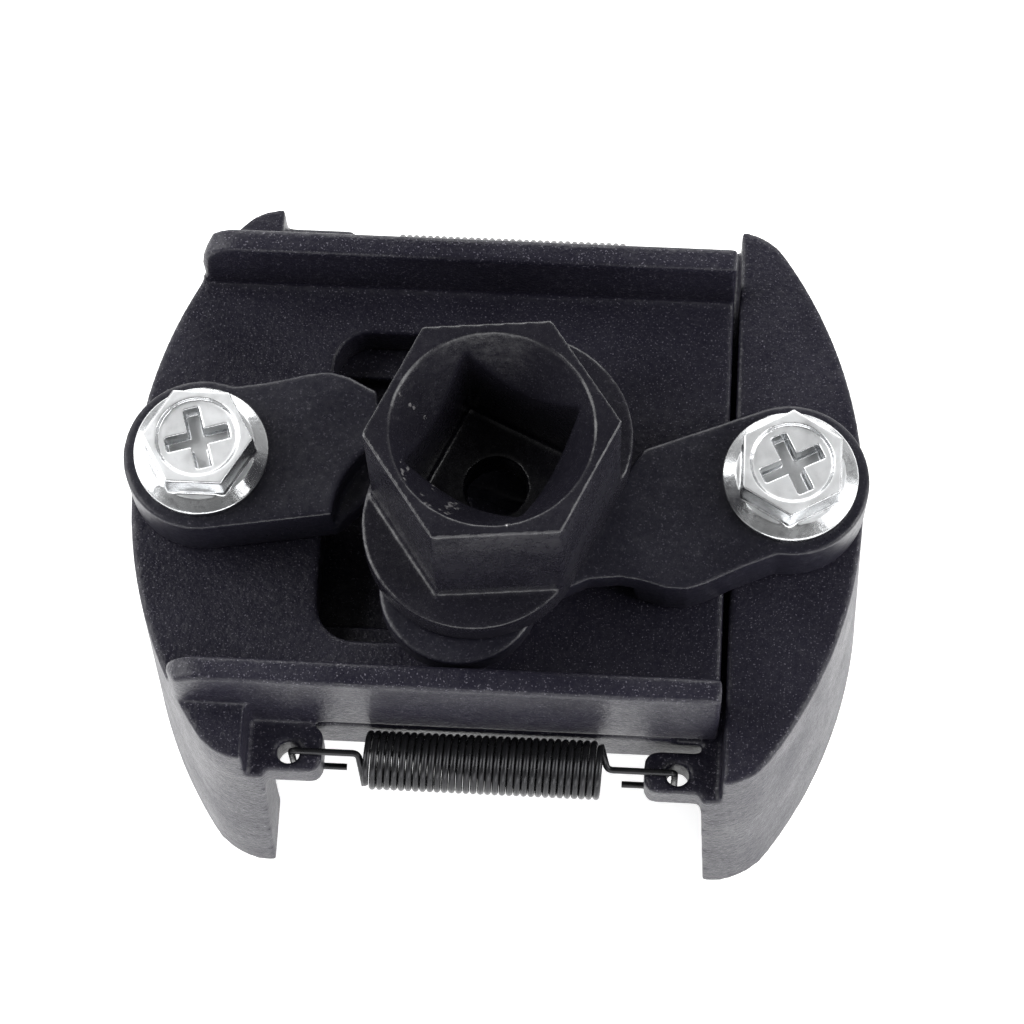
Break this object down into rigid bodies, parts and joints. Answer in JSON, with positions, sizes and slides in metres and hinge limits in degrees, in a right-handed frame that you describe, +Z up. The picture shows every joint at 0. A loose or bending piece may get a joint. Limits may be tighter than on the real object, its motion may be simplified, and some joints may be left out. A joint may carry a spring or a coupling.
{
  "type": "oil filter wrench",
  "caption": "Two-jaw oil filter wrench: a hexagon hub with a square socket turns strap links that slide a pair of sprung, toothed jaws.",
  "frame": {"origin": "on the plane of the jaw tips, under the centre of the guide rails", "axes": "+Z up along the hub's axis, X along the jaws' slide with the left jaw at -X, -Y to the front"},
  "size_m": [0.0798, 0.0646, 0.0632],
  "materials": {
    "jaw_paint": "fine cast texture, semi-gloss black",
    "hub_paint": "semi-gloss black with worn edges",
    "link_paint": "smooth semi-gloss black",
    "zinc": "bright zinc plate",
    "spring_steel": "black oxide"
  },
  "bodies": {
    "left_jaw": {"left_jaw": "jaw_paint", "left_bolt": "zinc", "front_spring": "spring_steel", "back_spring": "spring_steel"},
    "right_jaw": {"right_jaw": "jaw_paint", "right_bolt": "zinc"},
    "left_link": {"left_link": "link_paint"},
    "hub": {"drive_hub": "hub_paint"},
    "right_link": {"right_link": "link_paint"}
  },
  "joints": [
    {"name": "jaw_slide", "type": "slide", "parent": "left_jaw", "child": "right_jaw", "axis": [1, 0, 0], "range_m": [-0.00045, 0.015], "stiffness_N_per_m": 890, "deforming": ["front_spring", "back_spring"]},
    {"name": "left_link_swing", "type": "hinge", "parent": "left_jaw", "child": "left_link", "pos_m": [-0.03035, 0, 0.0385], "axis": [0, 0, 1], "range_deg": [-0.3, 9.75]},
    {"name": "hub_turn", "type": "hinge", "parent": "left_link", "child": "hub", "pos_m": [0.00376, 0.00542, 0.0385], "axis": [0, 0, 1], "range_deg": [-1, 32.8]},
    {"name": "right_link_swing", "type": "hinge", "parent": "hub", "child": "right_link", "pos_m": [-0.00292, -0.01322, 0.0385], "axis": [0, 0, 1], "range_deg": [-51.3, 1.6]}
  ],
  "couplings": [
    {"joint": "left_link_swing", "follows": "jaw_slide", "rad_per_m": 11.31},
    {"joint": "hub_turn", "follows": "jaw_slide", "rad_per_m": 38.15},
    {"joint": "right_link_swing", "follows": "jaw_slide", "rad_per_m": -59.61}
  ]
}
